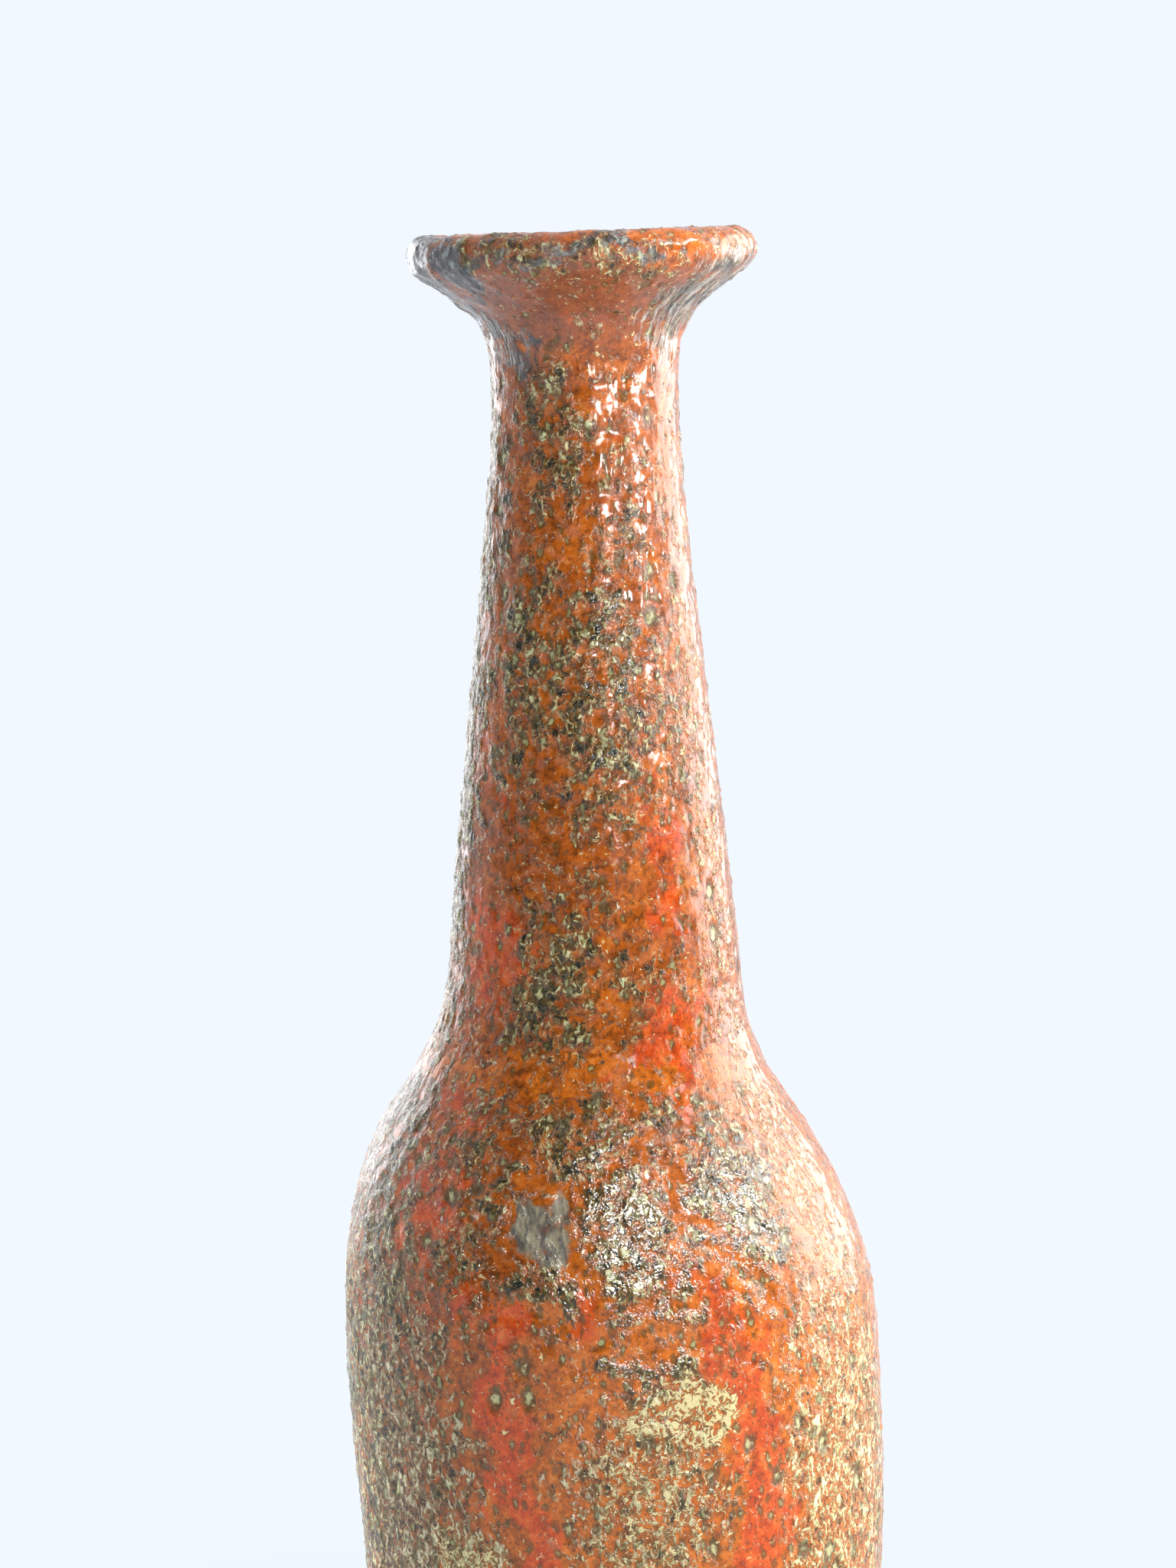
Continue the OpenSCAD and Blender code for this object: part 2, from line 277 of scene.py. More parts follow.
farSide = {  # the side the photo doesn't show: pairs are the least and the most, in degrees and mm
    "seed": 41, "angle": (95, 265), "shoulder": 205,
    "clusters": 26, "clusterHeight": (150, 396), "clusterStrength": (0.6, 1),
    "bodyCluster": ((8, 20), (8, 20)), "neckCluster": ((6, 11), (10, 28)),
    "reds": 9, "redHeight": (60, 340), "redsInLine": 3, "redWander": (-6, 6), "red": ((5, 10), (14, 26)),
    "ashAngles": (110, 255, 24), "ashHeight": (70, 105), "ash": ((20, 32), (34, 50)),
    "paleBeside": 9, "paleHeight": (60, 110), "pale": ((12, 24), (14, 30)), "paleStrength": (0.3, 1),
    "crusts": ((122, 126), (168, 92), (206, 128), (236, 78)),  # angle and height
    "crustSpots": 4, "crustSize": (4, 8), "crustStrength": (0.3, 0.75),
    "crustAside": (-14, 14), "crustUp": (-12, 12),
    "slates": ((150, 396, 15, 6, 0.9), (215, 388, 10, 6, 0.7)),
}


def fillFarSide():
    draw = np.random.default_rng(farSide["seed"])

    def pick(name):
        return draw.uniform(*farSide[name])

    def pickSize(name):
        return [draw.uniform(*size) for size in farSide[name]]

    for index in range(farSide["clusters"]):
        angle, height = pick("angle"), pick("clusterHeight")
        size = pickSize("bodyCluster" if height < farSide["shoulder"] else "neckCluster")
        glazeZones["cluster"].append((angle, height, *size, pick("clusterStrength")))
    for index in range(farSide["reds"]):
        angle = pick("angle")
        for height in draw.uniform(*farSide["redHeight"], farSide["redsInLine"]):
            glazeZones["red"].append((angle + pick("redWander"), height, *pickSize("red"), 0.9))
    for angle in range(*farSide["ashAngles"]):
        glazeZones["ash"].append((angle, pick("ashHeight"), *pickSize("ash"), 1))
        beside = angle + farSide["paleBeside"]
        glazeZones["pale"].append((beside, pick("paleHeight"), *pickSize("pale"), pick("paleStrength")))
    for angle, height in farSide["crusts"]:
        for index in range(farSide["crustSpots"]):
            size = pick("crustSize")
            place = (angle + pick("crustAside"), height + pick("crustUp"))
            glazeZones["crust"].append((*place, size, size, pick("crustStrength")))
    glazeZones["slate"] += farSide["slates"]


def paintZones(skin):
    places = np.zeros(len(skin.data.vertices) * 3)
    skin.data.vertices.foreach_get("co", places)
    places = places.reshape(-1, 3)
    rest = skin.data.attributes.new("restPlace", "FLOAT_VECTOR", "POINT")
    rest.data.foreach_set("vector", places.ravel())
    around = np.hypot(places[:, 0], places[:, 1])
    turn = np.arctan2(places[:, 0], -places[:, 1])
    wave = np.sin(places @ zoneEdges["waves"]) * zoneEdges["reach"]  # bends the outline of every spot
    facing = np.zeros(len(places) * 3)
    skin.data.vertex_normals.foreach_get("vector", facing)
    facing = (facing.reshape(-1, 3)[:, :2] * places[:, :2]).sum(1) / np.maximum(around, mm)
    outside = np.clip(facing / 0.5 + 1.2, zoneEdges["inMouth"], 1)  # fades as the coat turns inwards
    for zone, spots in glazeZones.items():
        amount = np.zeros(len(places))
        bend = wave * (zone != "bare")
        for angle, height, wide, high, strength in spots:
            arc = ((turn - math.radians(angle) + math.pi) % (2 * math.pi) - math.pi) * around
            across = (arc + bend[:, 0] + bend[:, 2]) / (wide * mm)
            along = (places[:, 2] - height * mm + bend[:, 1] + bend[:, 3]) / (high * mm)
            fade = np.clip((zoneEdges["end"] - np.hypot(across, along)) / zoneEdges["soft"], 0, 1)
            amount = np.maximum(amount, strength * fade * fade * (3 - 2 * fade))
        amount *= outside
        skin.data.attributes.new(zone, "FLOAT", "POINT").data.foreach_set("value", amount)
    ring = zoneEdges["ring"]
    rounded = np.round(np.stack([around, places[:, 2]], 1) / ring).astype(int)
    rings, which = np.unique(rounded, axis=0, return_inverse=True)
    face = np.clip((offClay(rings * ring) - zoneEdges["seat"]) / zoneEdges["rise"], 0, 1)
    skin.data.attributes.new("face", "FLOAT", "POINT").data.foreach_set("value", face[which.ravel()])


fillFarSide()
paintZones(coat)
print("glaze zones painted")


def addNode(tree, kind, settings=None, links=None, out=0, stops=()):
    # one node, its settings and what goes into it; gives back one output, or the node where out is None
    node = tree.nodes.new(kind)
    for index, (position, colour) in enumerate(stops):
        if index > 1:
            node.color_ramp.elements.new(position)
        node.color_ramp.elements[index].position = position
        node.color_ramp.elements[index].color = toLinear(colour)
    for name, value in (settings or {}).items():
        setattr(node, name, value)
    for name, value in (links or {}).items():
        if isinstance(value, bpy.types.NodeSocket):
            tree.links.new(value, node.inputs[name])
        else:
            node.inputs[name].default_value = value
    return node if out is None else node.outputs[out]


# Settings that many nodes share.
multiply = {"operation": "MULTIPLY"}
multiplyAdd = {"operation": "MULTIPLY_ADD"}
subtract = {"operation": "SUBTRACT"}
largest = {"operation": "MAXIMUM"}
smoothStep = {"interpolation_type": "SMOOTHSTEP"}
colourMix = {"data_type": "RGBA"}

glazePattern = {  # sizes in mm
    "wander": (7.0, 2.6),  # the size of the swirls that bend every other pattern, and how far
    "ragged": (1.5, 1.2),  # the same for the small ones that fray the edges
    "tall": 0.66,  # pits and flecks are taller than wide
    "pits": {  # crawled pits: spacing, widest (as a share of it), and how many there are where
        "pit": {"cell": 7.0, "widest": 0.3, "all": 0.3, "cluster": 0.1, "ash": 0.1, "red": 0.3},
        "speck": {"cell": 2.3, "widest": 0.45, "all": 0.29, "cluster": 0.5, "ash": 0.2, "red": 0.22},
    },
    "clot": 4.4,  # blots in the dark network
    "fleck": 1.5,  # ash flecks
    "cover": 2.4,  # patches of ash
    "crust": 1.7,  # dry cream crusts
}


def buildPattern(tree):
    # the same patterns for the relief and for the colours, so that each pit is dark where it is deep
    if tree.type == "SHADER":
        kind, name, out = "ShaderNodeAttribute", "attribute_name", "Fac"
        maps = {zone: addNode(tree, kind, {name: zone}, out=out) for zone in glazeZones}
        place = addNode(tree, kind, {name: "restPlace"}, out="Vector")
    else:
        kind, number = "GeometryNodeInputNamedAttribute", {"data_type": "FLOAT"}
        maps = {zone: addNode(tree, kind, number, {"Name": zone}) for zone in [*glazeZones, "face"]}
        place = addNode(tree, kind, {"data_type": "FLOAT_VECTOR"}, {"Name": "restPlace"})
    place = addNode(tree, "ShaderNodeVectorMath", {"operation": "SCALE"}, {0: place, "Scale": 1 / mm})
    swirl = place
    for size, reach in (glazePattern["wander"], glazePattern["ragged"]):
        bend = addNode(tree, "ShaderNodeTexNoise", {}, {
            "Vector": place, "Scale": 1 / size, "Detail": 2.0}, "Color")
        bend = addNode(tree, "ShaderNodeVectorMath", subtract, {0: bend, 1: (0.5, 0.5, 0.5)})
        swirl = addNode(tree, "ShaderNodeVectorMath", multiplyAdd, {0: bend, 1: (reach,) * 3, 2: swirl})
    tall = addNode(tree, "ShaderNodeVectorMath", multiply, {0: swirl, 1: (1, 1, glazePattern["tall"])})
    maps["place"], maps["swirl"], maps["tall"] = place, swirl, tall
    maps["fleck"] = addNode(tree, "ShaderNodeTexNoise", {}, {
        "Vector": tall, "Scale": 1 / glazePattern["fleck"], "Detail": 3.0, "Roughness": 0.6,
        "Distortion": 0.9})
    # pits: the cell's own random number says whether it holds a pit, and how wide it is
    for name, pit in glazePattern["pits"].items():
        cells = addNode(tree, "ShaderNodeTexVoronoi", {}, {
            "Vector": tall, "Scale": 1 / pit["cell"], "Randomness": 1.0}, None)
        chance = addNode(tree, "ShaderNodeSeparateXYZ", {}, {0: cells.outputs["Color"]}, None)
        crowd = pit["all"]
        for zone in ("cluster", "ash", "red"):
            crowd = addNode(tree, "ShaderNodeMath", multiplyAdd, {0: maps[zone], 1: pit[zone], 2: crowd})
        room = addNode(tree, "ShaderNodeMath", subtract, {0: crowd, 1: chance.outputs[0]})
        radius = addNode(tree, "ShaderNodeMapRange", smoothStep, {
            "Value": room, "From Min": -0.02, "From Max": 0.25, "To Min": 0.001, "To Max": pit["widest"]})
        rim = addNode(tree, "ShaderNodeMath", {"operation": "DIVIDE"}, {
            0: cells.outputs["Distance"], 1: radius})
        rim = addNode(tree, "ShaderNodeMath", multiplyAdd, {0: maps["fleck"], 1: -1.2, 2: rim})
        for part, least, most in (("", 0.0, 0.7), ("Heart", -0.36, 0.02)):
            maps[name + part] = addNode(tree, "ShaderNodeMapRange", smoothStep, {
                "Value": rim, "From Min": least, "From Max": most, "To Min": 1.0, "To Max": 0.0})
        maps[name + "Kind"] = chance.outputs[1]
    clot = addNode(tree, "ShaderNodeTexNoise", {}, {
        "Vector": swirl, "Scale": 1 / glazePattern["clot"], "Detail": 4.0, "Roughness": 0.66})
    clot = addNode(tree, "ShaderNodeMath", multiplyAdd, {0: maps["cluster"], 1: 0.2, 2: clot})
    maps["clot"] = addNode(tree, "ShaderNodeMapRange", smoothStep, {
        "Value": clot, "From Min": 0.57, "From Max": 0.74})
    dry = addNode(tree, "ShaderNodeTexNoise", {}, {
        "Vector": swirl, "Scale": 1 / glazePattern["crust"], "Detail": 4.0, "Roughness": 0.66,
        "Distortion": 1.2})
    dry = addNode(tree, "ShaderNodeMath", multiplyAdd, {0: maps["crust"], 1: 0.2, 2: dry})
    for name, least, most in (("dry", 0.63, 0.68), ("dryEdge", 0.56, 0.63)):
        maps[name] = addNode(tree, "ShaderNodeMapRange", smoothStep, {
            "Value": dry, "From Min": least, "From Max": most})
    cover = addNode(tree, "ShaderNodeTexNoise", {}, {
        "Vector": tall, "Scale": 1 / glazePattern["cover"], "Detail": 4.0, "Roughness": 0.65})
    cover = addNode(tree, "ShaderNodeMath", multiplyAdd, {0: maps["ash"], 1: 0.24, 2: cover})
    maps["cover"] = addNode(tree, "ShaderNodeMapRange", smoothStep, {
        "Value": cover, "From Min": 0.56, "From Max": 0.7})
    return maps


glazeRelief = {  # in mm
    "waveSize": 14, "peelSize": 6,
    "smoothBelow": 240, "lumpyAbove": 300,  # heights: the neck is lumpy all over
    "heights": {  # each over its own pattern
        "waves": 0.6, "peel": 1.3, "pit": -0.35, "speck": -0.18, "clot": 0.2, "fleck": 1.2, "dry": 0.3,
        "red": 0.2, "bare": -0.3,
    },
}


def raiseRelief(skin):
    tree = bpy.data.node_groups.new("glazeRelief", "GeometryNodeTree")
    tree.interface.new_socket("Geometry", in_out="INPUT", socket_type="NodeSocketGeometry")
    tree.interface.new_socket("Geometry", in_out="OUTPUT", socket_type="NodeSocketGeometry")
    maps = buildPattern(tree)
    maps["waves"] = addNode(tree, "ShaderNodeTexNoise", {}, {
        "Vector": maps["place"], "Scale": 1 / glazeRelief["waveSize"], "Detail": 1.0})
    short = addNode(tree, "ShaderNodeVectorMath", multiply, {0: maps["swirl"], 1: (1, 1, 1.5)})
    maps["peel"] = addNode(tree, "ShaderNodeTexNoise", {}, {
        "Vector": short, "Scale": 1 / glazeRelief["peelSize"], "Detail": 1.0})
    # the shoulder and belly are lumpy only where the glaze clotted
    lumpy = addNode(tree, "ShaderNodeSeparateXYZ", {}, {0: maps["place"]}, "Z")
    lumpy = addNode(tree, "ShaderNodeMapRange", {}, {
        "Value": lumpy, "From Min": glazeRelief["smoothBelow"], "From Max": glazeRelief["lumpyAbove"],
        "To Max": 0.95})
    lumpy = addNode(tree, "ShaderNodeMath", largest, {0: maps["cluster"], 1: lumpy})
    lumpy = addNode(tree, "ShaderNodeMapRange", {}, {"Value": lumpy, "To Min": 0.45, "To Max": 1.0})
    maps["peel"] = addNode(tree, "ShaderNodeMath", multiply, {0: maps["peel"], 1: lumpy})
    rough = addNode(tree, "ShaderNodeMath", largest, {0: maps["cover"], 1: maps["clot"]})
    grain = addNode(tree, "ShaderNodeMath", subtract, {0: maps["fleck"], 1: 0.5})
    maps["fleck"] = addNode(tree, "ShaderNodeMath", multiply, {0: grain, 1: rough})
    heights = glazeRelief["heights"]
    height = -(heights["waves"] + heights["peel"]) / 2
    for name, most in heights.items():
        height = addNode(tree, "ShaderNodeMath", multiplyAdd, {0: maps[name], 1: most, 2: height})
    height = addNode(tree, "ShaderNodeMath", multiply, {0: height, 1: maps["face"]})
    height = addNode(tree, "ShaderNodeMath", multiply, {0: height, 1: mm})
    outward = addNode(tree, "GeometryNodeInputNormal")
    push = addNode(tree, "ShaderNodeVectorMath", {"operation": "SCALE"}, {0: outward, "Scale": height})
    skinIn = addNode(tree, "NodeGroupInput")
    pushed = addNode(tree, "GeometryNodeSetPosition", {}, {"Geometry": skinIn, "Offset": push})
    addNode(tree, "NodeGroupOutput", {}, {0: pushed}, None)
    selectOnly(skin)
    modifier = skin.modifiers.new("relief", "NODES")
    modifier.node_group = tree
    bpy.ops.object.modifier_apply(modifier=modifier.name)


raiseRelief(coat)
print("relief raised")


coatParting = {
    "throatEdge": 20.2 * mm,  # nearer the axis than this, and higher than its foot, is the throat
    "throatFoot": 330 * mm,
    "endReach": 10 * mm,  # an open end's edge is this near to the height where the coat was parted
}


def partSkin(skin, name, inside):
    # takes the faces that the test chooses off the skin, as a skin of their own
    selectOnly(skin)
    bpy.ops.object.mode_set(mode="EDIT")
    bpy.ops.mesh.select_mode(type="FACE")
    bpy.ops.mesh.select_all(action="DESELECT")
    bpy.ops.object.mode_set(mode="OBJECT")
    centres = np.zeros(len(skin.data.polygons) * 3)
    skin.data.polygons.foreach_get("center", centres)
    centres = centres.reshape(-1, 3)
    chosen = inside(np.hypot(centres[:, 0], centres[:, 1]), centres[:, 2])
    skin.data.polygons.foreach_set("select", chosen)
    bpy.ops.object.mode_set(mode="EDIT")
    bpy.ops.mesh.separate(type="SELECTED")
    bpy.ops.object.mode_set(mode="OBJECT")
    parted = [thing for thing in bpy.context.selected_objects if thing != skin][0]
    parted.name = parted.data.name = name
    return parted


def closeEnds(skin, heights):
    # an end is open where the coat was parted: its outer and inner edge are bridged, end by end
    for height in heights:
        selectOnly(skin)
        bpy.ops.object.mode_set(mode="EDIT")
        bpy.ops.mesh.select_mode(type="EDGE")
        bpy.ops.mesh.select_all(action="DESELECT")
        bpy.ops.mesh.select_non_manifold(
            extend=False, use_wire=False, use_multi_face=False, use_non_contiguous=False, use_verts=False)
        bpy.ops.object.mode_set(mode="OBJECT")
        corners = np.zeros(len(skin.data.vertices) * 3)
        skin.data.vertices.foreach_get("co", corners)
        ends = np.zeros(len(skin.data.edges) * 2, int)
        skin.data.edges.foreach_get("vertices", ends)
        picked = np.zeros(len(skin.data.edges), bool)
        skin.data.edges.foreach_get("select", picked)
        picked &= np.abs(corners[2::3][ends[::2]] - height) < coatParting["endReach"]
        skin.data.vertices.foreach_set("select", np.zeros(len(skin.data.vertices), bool))
        skin.data.edges.foreach_set("select", picked)
        bpy.ops.object.mode_set(mode="EDIT")
        bpy.ops.mesh.bridge_edge_loops()
        bpy.ops.mesh.region_to_loop()
        bpy.ops.mesh.mark_sharp()
        bpy.ops.object.mode_set(mode="OBJECT")


def overLip(away, height):
    inThroat = (height > coatParting["throatFoot"]) & (away < coatParting["throatEdge"])
    return (height > glazeSplit["underLip"]) | inThroat


def overJoint(away, height):
    return height > glazeSplit["atJoint"]


lipGlaze = partSkin(coat, "lipGlaze", overLip)
neckGlaze = partSkin(coat, "neckGlaze", overJoint)
bodyGlaze = coat
bodyGlaze.name = bodyGlaze.data.name = "bodyGlaze"
jointEnd, lipEnd = glazeSplit["atJoint"], glazeSplit["underLip"]
for skin, heights in ((lipGlaze, [lipEnd]), (neckGlaze, [lipEnd, jointEnd]), (bodyGlaze, [jointEnd])):
    closeEnds(skin, heights)
    skin.data.calc_loop_triangles()
    print(skin.name, len(skin.data.loop_triangles), "triangles")

clayBody = throwSkin(
    "clayBody", spaceOut(sections["body_section"], lambda path: path[:, 1] > potShape["bareRim"]))
clayNeck = throwSkin("clayNeck", spaceOut(sections["neck_section"], lambda path: True))
slipRing = throwSkin("slipRing", spaceOut(sections["slip_joint"], lambda path: False))
linerSkin = throwSkin(
    "linerGlaze", spaceOut(sections["liner_glaze"], lambda path: offClay(path) < potShape["linerSeat"]))
for skin in (clayBody, clayNeck, slipRing, linerSkin):
    skin.data.calc_loop_triangles()
    print(skin.name, len(skin.data.loop_triangles), "triangles")
pieces = [bodyGlaze, neckGlaze, lipGlaze, clayBody, clayNeck, slipRing, linerSkin]

potBow = {
    "layers": 30, "low": -0.01, "high": 0.41, "wide": 0.2,  # the lattice that bends the pot, m
    "drift": [  # how far the hand-made pot's middle wanders to the right of its axis, by height, mm
        (0, 2.0), (60, 2.4), (90, 2.4), (112, 1.7), (136, 1.1), (152, 0.1), (168, -1.5), (184, -2.6),
        (192, -2.6), (208, -1.2), (224, 0.2), (256, 0.5), (288, 1.0), (320, 1.5), (360, 2.5), (380, 3.0),
        (400, 2.8),
    ],
}


def bowPieces(skins):
    layers, low, high, wide = (potBow[name] for name in ("layers", "low", "high", "wide"))
    bpy.ops.object.add(type="LATTICE", location=(0, 0, (low + high) / 2))
    cage = bpy.context.object
    cage.scale = (wide, wide, high - low)
    cage.data.points_u = cage.data.points_v = 2
    cage.data.points_w = layers
    cage.data.interpolation_type_u = cage.data.interpolation_type_v = "KEY_LINEAR"
    cage.data.interpolation_type_w = "KEY_CARDINAL"
    perLayer = cage.data.points_u * cage.data.points_v
    heights, offsets = np.array(potBow["drift"]).T
    for index, point in enumerate(cage.data.points):
        height = low + (high - low) * (index // perLayer) / (layers - 1)
        point.co_deform.x += np.interp(height / mm, heights, offsets) * mm / wide
    bpy.context.view_layer.update()
    for skin in skins:
        selectOnly(skin)
        bow = skin.modifiers.new("bow", "LATTICE")
        bow.object = cage
        bpy.ops.object.modifier_apply(modifier=bow.name)
    bpy.data.objects.remove(cage)


bowPieces(pieces)
print("pieces bowed")


def toLinear(hexColour):
    channels = [int(hexColour[start:start + 2], 16) / 255 for start in (1, 3, 5)]
    return (*(part / 12.92 if part <= 0.04045 else ((part + 0.055) / 1.055) ** 2.4 for part in channels), 1)


# mauveAndShade is the colour of painted shade under the lip and down the left side, as well as the glaze's
# dull mauve
glazeColours = {
    "brown": "#6d3a1c", "pitRim": "#54481f", "heart": "#dad69c", "celadon": "#b6b67a", "crust": "#f2e2a4",
    "mauveAndShade": "#8a5646", "olive": "#5e4e26",
}
orangeGlass = [(0.3, "#743c06"), (0.41, "#be6008"), (0.5, "#de7210"), (0.58, "#ec7e1e"), (0.7, "#f29c4c")]
deepAndShadeGlass = [(0.3, "#4a280c"), (0.41, "#86420a"), (0.5, "#b0540e"), (0.58, "#c46014"), (0.7, "#d88436")]
redGlass = [(0.3, "#9e360a"), (0.41, "#d2460c"), (0.54, "#ea5816"), (0.7, "#f47e3c")]
slateGlass = [(0.34, "#262e34"), (0.43, "#434d56"), (0.5, "#5c5852"), (0.56, "#667278"), (0.66, "#a8b0b2")]
bareClay = [(0.38, "#4a4a44"), (0.45, "#6c6a5e"), (0.53, "#8c866e"), (0.62, "#aaa284")]
darkAsh = [
    (0.34, "#2a2218"), (0.42, "#544430"), (0.485, "#a86c3a"), (0.52, "#867a58"), (0.57, "#c2b488"),
    (0.65, "#ece2c0"),
]
paleAsh = [
    (0.35, "#443818"), (0.41, "#a85c20"), (0.465, "#e47e30"), (0.495, "#b0703a"), (0.515, "#6a5c2c"),
    (0.55, "#d2c480"), (0.6, "#eee0a6"), (0.68, "#fbf4d4"),
]
clotCrystals = [
    (0.34, "#1e2018"), (0.43, "#3e3e2c"), (0.49, "#5e4c28"), (0.53, "#96561c"), (0.575, "#8c8c58"),
    (0.64, "#e6e4ae"),
]
fibreStrokes = [(0.36, "#3c4240"), (0.46, "#605e58"), (0.54, "#a09a8e"), (0.62, "#dcd8cc")]
glazeNoises = {  # the map that each follows, its size in mm, detail and roughness
    "melt": ("swirl", 3.0, 4.0, 0.75),  # mottles the glass
    "drift": ("place", 11.0, 3.0, 0.5),  # where the glass is thin, and where it is thick and dark
    "edge": ("swirl", 4.0, 4.0, 0.65),  # frays the zones
    "wisp": ("tall", 7.0, 3.0, 0.65),  # lets the orange show through the red runs
    "grit": ("swirl", 1.5, 2.0, 0.5),  # grain too fine for the mesh
}
glazeCovers = {  # what frays a zone and by how much, between which values it fades in, and how dense it gets
    "mauveAndShade": ("edge", 1.4, 0.9, 1.7, 0.6),
    "red": ("wisp", 2.4, 1.55, 2.1, 0.85),
    "slate": ("edge", 2.2, 1.45, 1.95, 0.9),
    "bare": ("edge", 1.5, 1.15, 1.6, 0.96),
}
glazeGrain = {"pin": 1.5, "stroke": 1.1, "streak": 1.2}  # pinholes, grey fibres, brush streaks, mm


def startMaterial(name):
    material = bpy.data.materials.new(name)
    material.use_nodes = True
    material.node_tree.nodes.clear()
    return material, material.node_tree


def makeGlaze():
    # Glaze over earthenware, fired glossy. To the eye it is melted orange glass that runs red where it is
    # thick, with dull pits, dark clots that hold pale crystals, and dry ash flecks down the belly.
    colours = {name: toLinear(value) for name, value in glazeColours.items()}
    material, tree = startMaterial("orangeCrawledGlaze")
    maps = buildPattern(tree)
    for name, (follows, size, detail, coarse) in glazeNoises.items():
        maps[name] = addNode(tree, "ShaderNodeTexNoise", {}, {
            "Vector": maps[follows], "Scale": 1 / size, "Detail": detail, "Roughness": coarse})
    covers = {}
    for zone, (frayedBy, reach, least, most, densest) in glazeCovers.items():
        frayed = addNode(tree, "ShaderNodeMath", multiplyAdd, {0: maps[frayedBy], 1: reach, 2: maps[zone]})
        covers[zone] = addNode(tree, "ShaderNodeMapRange", smoothStep, {
            "Value": frayed, "From Min": least, "From Max": most, "To Max": densest})
    glass = addNode(tree, "ShaderNodeValToRGB", {}, {0: maps["melt"]}, stops=orangeGlass)
    deepAndShade = addNode(tree, "ShaderNodeValToRGB", {}, {0: maps["melt"]}, stops=deepAndShadeGlass)
    # darker glass where the drift noise makes the glaze thick, and painted shade where the deepAndShade
    # spots lie
    depthAndShade = addNode(tree, "ShaderNodeMath", multiplyAdd, {0: maps["drift"], 1: 2.0, 2: -1.0})
    depthAndShade = addNode(tree, "ShaderNodeMath", {"operation": "ADD", "use_clamp": True}, {
        0: depthAndShade, 1: maps["deepAndShade"]})
    run = addNode(tree, "ShaderNodeValToRGB", {}, {0: maps["melt"]}, stops=redGlass)
    pin = addNode(tree, "ShaderNodeTexVoronoi", {}, {
        "Vector": maps["place"], "Scale": 1 / glazeGrain["pin"]}, "Distance")
    pin = addNode(tree, "ShaderNodeMapRange", smoothStep, {
        "Value": pin, "From Min": 0.14, "From Max": 0.36, "To Min": 0.55, "To Max": 0.0})
    # ash: fine flecks from umber to cream, kept off the red; at the pot's edges and along the lip's top the
    # cream is partly painted reflection
    keep = addNode(tree, "ShaderNodeMath", multiplyAdd, {0: covers["red"], 1: -0.8, 2: 1.0})
    umber = addNode(tree, "ShaderNodeValToRGB", {}, {0: maps["fleck"]}, stops=darkAsh)
    cream = addNode(tree, "ShaderNodeValToRGB", {}, {0: maps["fleck"]}, stops=paleAsh)
    flecks = addNode(tree, "ShaderNodeMix", colourMix, {0: maps["pale"], 6: umber, 7: cream}, 2)
    cover = addNode(tree, "ShaderNodeMath", multiply, {0: maps["cover"], 1: keep})
    # dark clots with pale crystals
    clot = addNode(tree, "ShaderNodeMath", multiply, {0: maps["clot"], 1: keep})
    crystals = addNode(tree, "ShaderNodeValToRGB", {}, {0: maps["fleck"]}, stops=clotCrystals)
    speck = addNode(tree, "ShaderNodeMath", multiply, {0: maps["speck"], 1: 0.7})
    speckHeart = addNode(tree, "ShaderNodeMath", multiply, {0: maps["speckHeart"], 1: maps["speckKind"]})
    pit = addNode(tree, "ShaderNodeMath", multiply, {0: maps["pit"], 1: 0.8})
    pitHeart = addNode(tree, "ShaderNodeMath", multiply, {0: maps["pitHeart"], 1: 0.9})
    dryEdge = addNode(tree, "ShaderNodeMath", multiply, {0: maps["dryEdge"], 1: maps["crust"]})
    slate = addNode(tree, "ShaderNodeValToRGB", {}, {0: maps["melt"]}, stops=slateGlass)
    # pale grey fibres that the melt drew out down the edges and under the lip; down the edges and along the
    # lip's top they are partly painted reflection
    flat = addNode(tree, "ShaderNodeVectorMath", multiply, {0: maps["swirl"], 1: (1, 1, 0)})
    flat = addNode(tree, "ShaderNodeVectorMath", {"operation": "NORMALIZE"}, {0: flat})
    drawn = addNode(tree, "ShaderNodeVectorMath", multiply, {0: maps["swirl"], 1: (0, 0, 0.16)})
    drawn = addNode(tree, "ShaderNodeVectorMath", multiplyAdd, {0: flat, 1: (32, 32, 32), 2: drawn})
    drawn = addNode(tree, "ShaderNodeTexNoise", {}, {
        "Vector": drawn, "Scale": 1 / glazeGrain["stroke"], "Detail": 3.0, "Roughness": 0.6})
    strokes = addNode(tree, "ShaderNodeValToRGB", {}, {0: drawn}, stops=fibreStrokes)
    fibre = addNode(tree, "ShaderNodeMath", multiplyAdd, {0: maps["edge"], 1: 1.2, 2: maps["fibre"]})
    fibre = addNode(tree, "ShaderNodeMath", multiplyAdd, {0: drawn, 1: 1.6, 2: fibre})
    fibre = addNode(tree, "ShaderNodeMapRange", smoothStep, {
        "Value": fibre, "From Min": 1.9, "From Max": 2.4, "To Max": 0.66})
    # where the coat fell off the clay, the grey bisque shows brush streaks
    streak = addNode(tree, "ShaderNodeVectorMath", multiply, {0: maps["place"], 1: (1, 1, 0.14)})
    streak = addNode(tree, "ShaderNodeTexNoise", {}, {
        "Vector": streak, "Scale": 1 / glazeGrain["streak"], "Detail": 2.0})
    streak = addNode(tree, "ShaderNodeMix", {"data_type": "FLOAT"}, {0: 0.3, 2: streak, 3: maps["edge"]}, 0)
    bisque = addNode(tree, "ShaderNodeValToRGB", {}, {0: streak}, stops=bareClay)
    colour = glass
